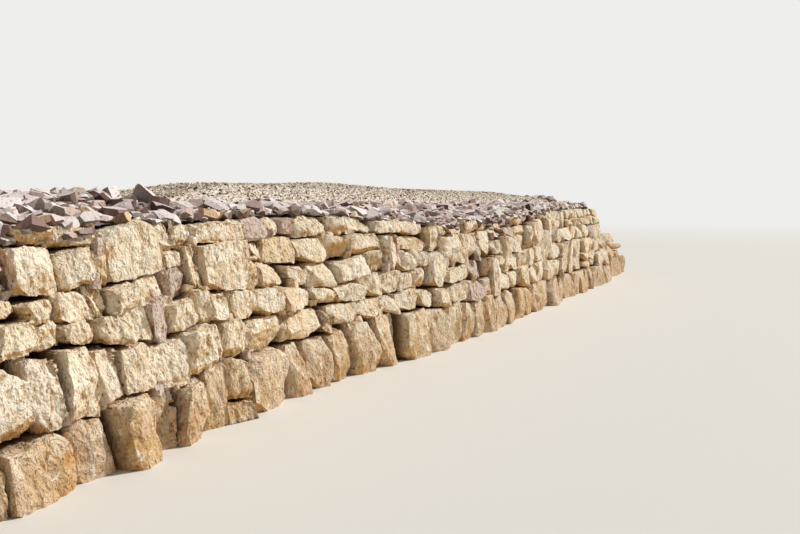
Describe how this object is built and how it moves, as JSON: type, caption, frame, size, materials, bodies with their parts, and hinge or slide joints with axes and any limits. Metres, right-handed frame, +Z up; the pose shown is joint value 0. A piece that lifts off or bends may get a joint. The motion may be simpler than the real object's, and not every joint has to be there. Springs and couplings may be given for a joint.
{
  "type": "dry stone wall",
  "caption": "Straight battered dry stone wall with two faces of coursed hewn blocks, a rubble hearting, a gravel crown and one end racked back to a low tail.",
  "frame": {"origin": "on the ground, at the middle of the whole wall's plan", "axes": "+X along the wall towards the low tail, +Z up, the pictured face looks towards -Y"},
  "size_m": [18.5, 3.4214, 1.85],
  "materials": {
    "face_stone": "rough hewn porous limestone",
    "end_stone": "rough hewn porous limestone",
    "tail_stone": "rough hewn porous limestone",
    "hearting_rubble": "loose packed rubble",
    "shoulder_rubble": "loose angular rubble",
    "crown_gravel": "loose gravel"
  },
  "bodies": {
    "root": {"back_course_1": "face_stone", "back_course_2": "face_stone", "back_course_3": "face_stone", "back_course_4": "face_stone", "back_course_5": "face_stone", "back_course_6": "face_stone", "back_rubble_shoulder": "shoulder_rubble", "far_end_course_1": "end_stone", "far_end_course_2": "end_stone", "far_end_course_3": "end_stone", "far_end_course_4": "end_stone", "far_end_course_5": "end_stone", "far_end_course_6": "end_stone", "far_rubble_cap": "shoulder_rubble", "front_course_1": "face_stone", "front_course_2": "face_stone", "front_course_3": "face_stone", "front_course_4": "face_stone", "front_course_5": "face_stone", "front_course_6": "face_stone", "front_rubble_shoulder": "shoulder_rubble", "gravel_crown": "crown_gravel", "near_end_course_1": "end_stone", "near_end_course_2": "end_stone", "near_end_course_3": "end_stone", "near_end_course_4": "end_stone", "near_end_course_5": "end_stone", "near_end_course_6": "end_stone", "near_rubble_cap": "shoulder_rubble", "rubble_hearting": "hearting_rubble", "tail_course_1": "tail_stone", "tail_course_2": "tail_stone", "tail_course_3": "tail_stone"}
  },
  "joints": []
}
